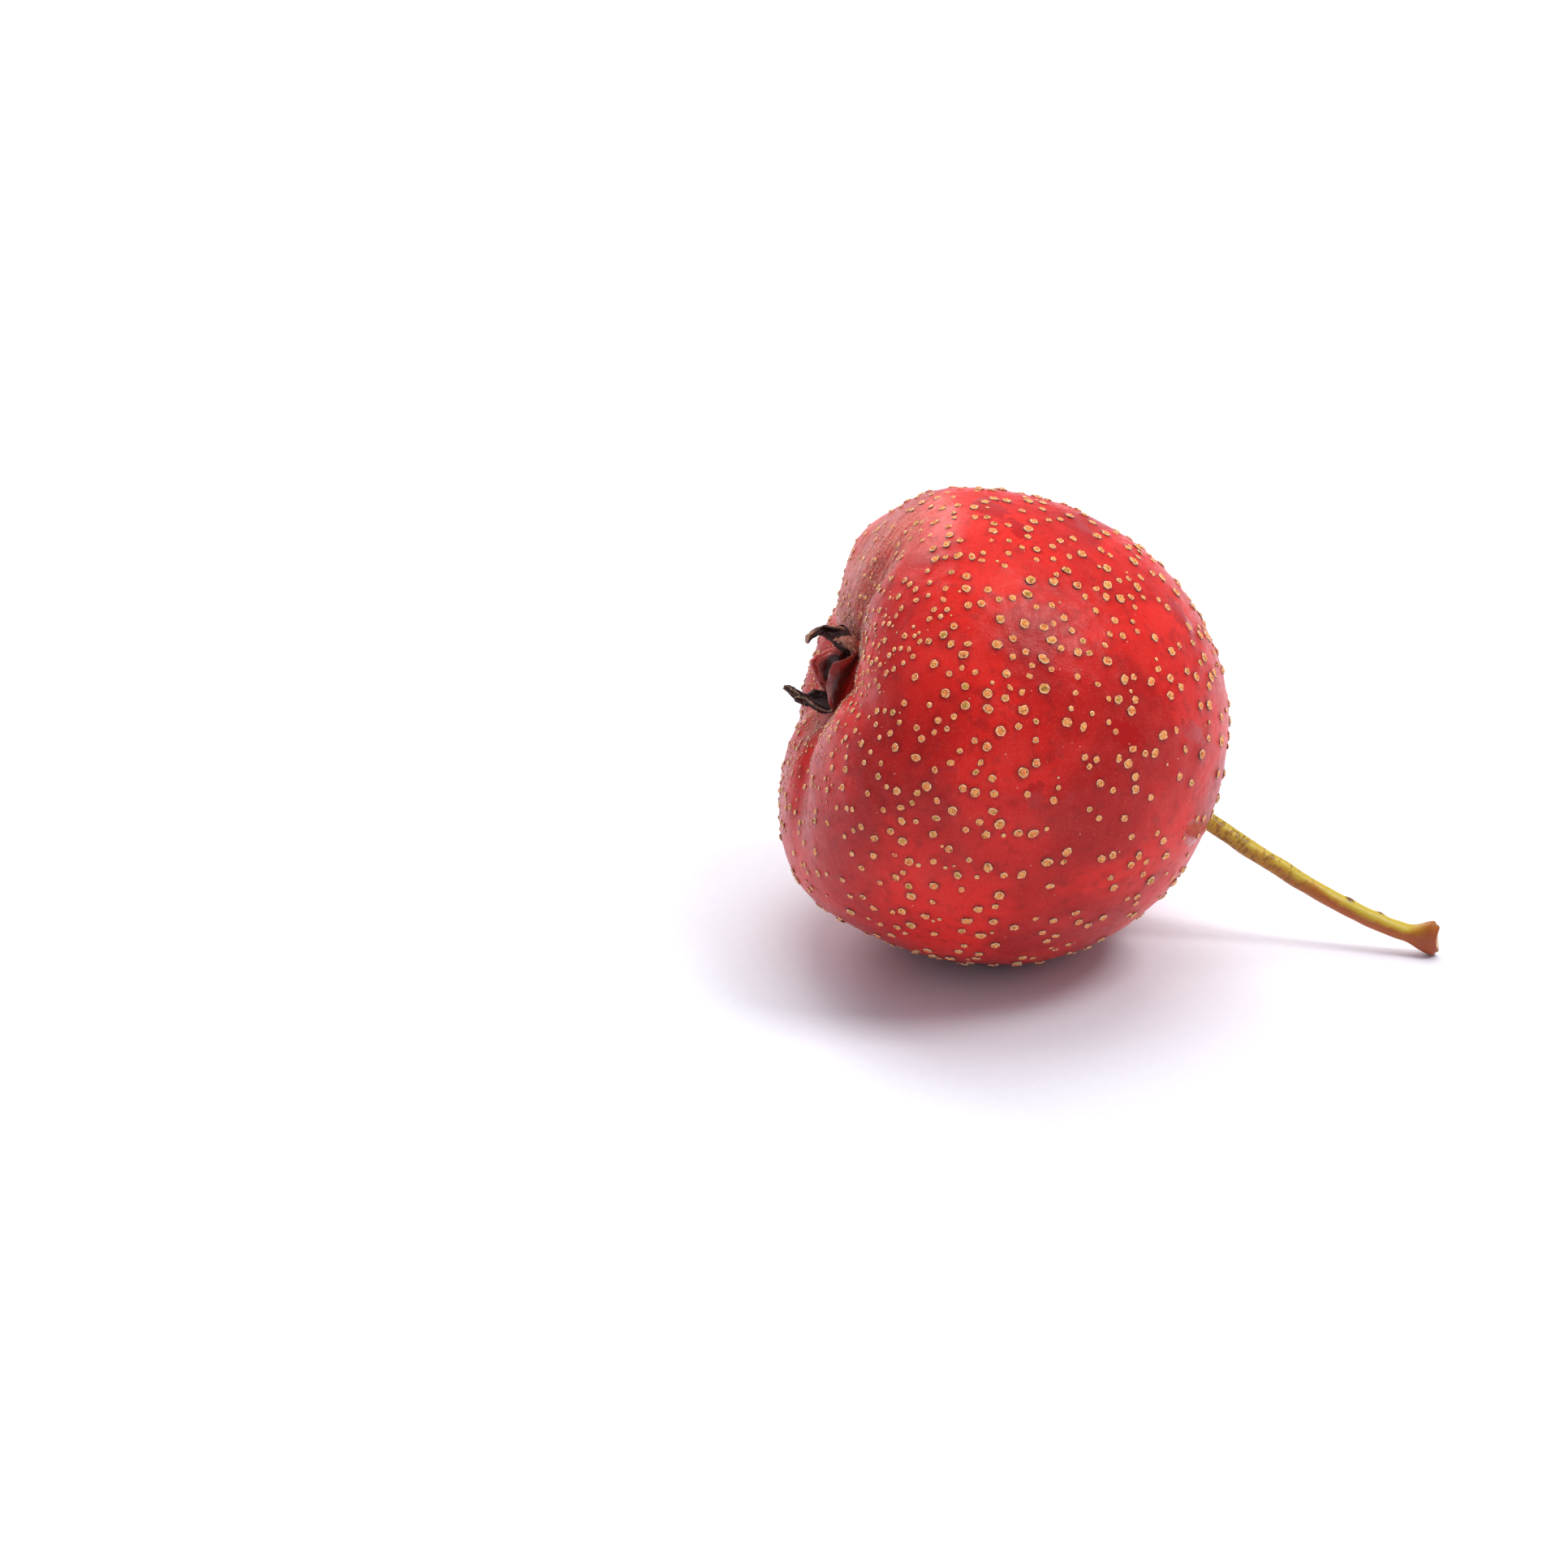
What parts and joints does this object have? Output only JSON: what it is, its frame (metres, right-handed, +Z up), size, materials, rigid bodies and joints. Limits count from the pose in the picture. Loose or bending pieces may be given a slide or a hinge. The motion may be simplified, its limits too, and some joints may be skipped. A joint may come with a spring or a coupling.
{
  "type": "hawthorn berry",
  "caption": "Whole red hawthorn berry lying on its side, with corky lenticels, a dried calyx at one end and a slender stem at the other.",
  "frame": {"origin": "on the surface that the berry lies on, under the middle of its box", "axes": "+X towards the stem end along the berry's length, +Z up, +Y across"},
  "size_m": [0.0362, 0.0258, 0.0259],
  "materials": {
    "skin": "satin deep red fruit skin with ochre corky lenticels",
    "stem": "olive-yellow bark, orange-brown underneath",
    "calyx": "dry red-brown sepal",
    "stamens": "withered dark brown threads"
  },
  "bodies": {
    "root": {"fruit": "skin", "stem": "stem", "calyx": "calyx", "stamens": "stamens"}
  },
  "joints": []
}
